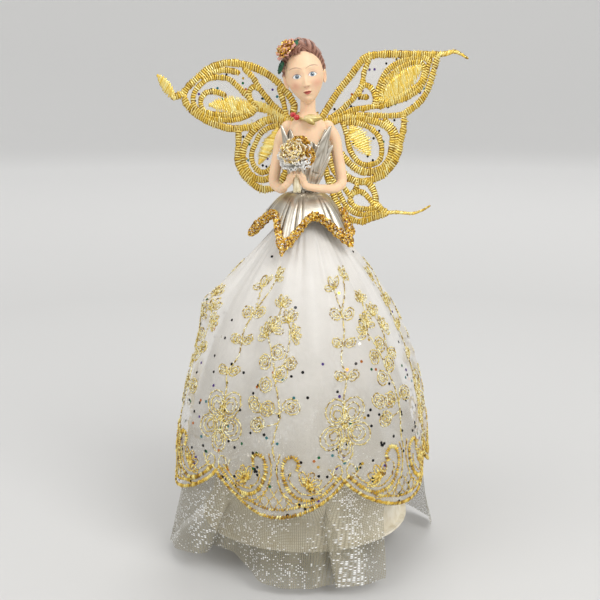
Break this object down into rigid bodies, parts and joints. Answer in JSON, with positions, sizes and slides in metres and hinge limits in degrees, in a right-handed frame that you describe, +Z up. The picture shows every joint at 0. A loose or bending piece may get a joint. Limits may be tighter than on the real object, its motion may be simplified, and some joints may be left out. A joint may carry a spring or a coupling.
{
  "type": "angel tree topper",
  "caption": "Angel tree topper: cast figure with a bouquet on a card cone, dressed in two gathered skirts, with embroidered wings that bend on root wires.",
  "frame": {"origin": "centre of the cone's open mouth, at the plane of its rim", "axes": "+Z up along the cone towards the head; the figure faces -Y; +X is to its left"},
  "size_m": [0.1579, 0.1319, 0.2401],
  "materials": {
    "card": "matt card",
    "lurex": "sparkling mesh",
    "organza": "sheer",
    "ribbon": "satin",
    "silver_resin": "metallic paint",
    "glitter": "glitter",
    "skin": "satin paint",
    "hair": "satin paint",
    "gold_resin": "metallic paint",
    "berry": "gloss",
    "stem": "satin paint",
    "petal_silver": "metallic paint with glitter",
    "rose_pink": "satin paint",
    "leaf_green": "glitter",
    "gold_thread": "metallic thread",
    "wire": "gold lacquer"
  },
  "bodies": {
    "figure": {"tree_cone": "card", "underskirt": "lurex", "overskirt": "organza", "waistband": "ribbon", "bodice": "silver_resin", "peplum": "silver_resin", "peplum_trim": "glitter", "torso": "skin", "left_arm": "skin", "right_arm": "skin", "necklace_band": "gold_resin", "necklace_pendant": "gold_resin", "necklace_berry_lower": "berry", "necklace_berry_upper": "berry", "bouquet_stem": "stem", "bouquet_frill": "petal_silver", "bouquet_front_rose": "petal_silver", "bouquet_side_rose": "petal_silver", "bouquet_top_rose": "petal_silver", "wing_pad": "ribbon", "head": "skin", "hair": "hair", "hair_flower": "rose_pink", "hair_leaf_upper": "leaf_green", "hair_leaf_lower": "leaf_green"},
    "left_wing": {"left_wing_panel": "organza", "left_wing_embroidery": "gold_thread", "left_wing_root_wire": "wire"},
    "right_wing": {"right_wing_panel": "organza", "right_wing_embroidery": "gold_thread", "right_wing_root_wire": "wire"}
  },
  "joints": [
    {"name": "left_wing_bend", "type": "hinge", "parent": "figure", "child": "left_wing", "pos_m": [0.0052, 0.01084, 0.1859], "axis": [0, 0, 1], "range_deg": [-14, 40]},
    {"name": "right_wing_bend", "type": "hinge", "parent": "figure", "child": "right_wing", "pos_m": [-0.0028, 0.01084, 0.1859], "axis": [0, 0, -1], "range_deg": [-14, 40]}
  ]
}
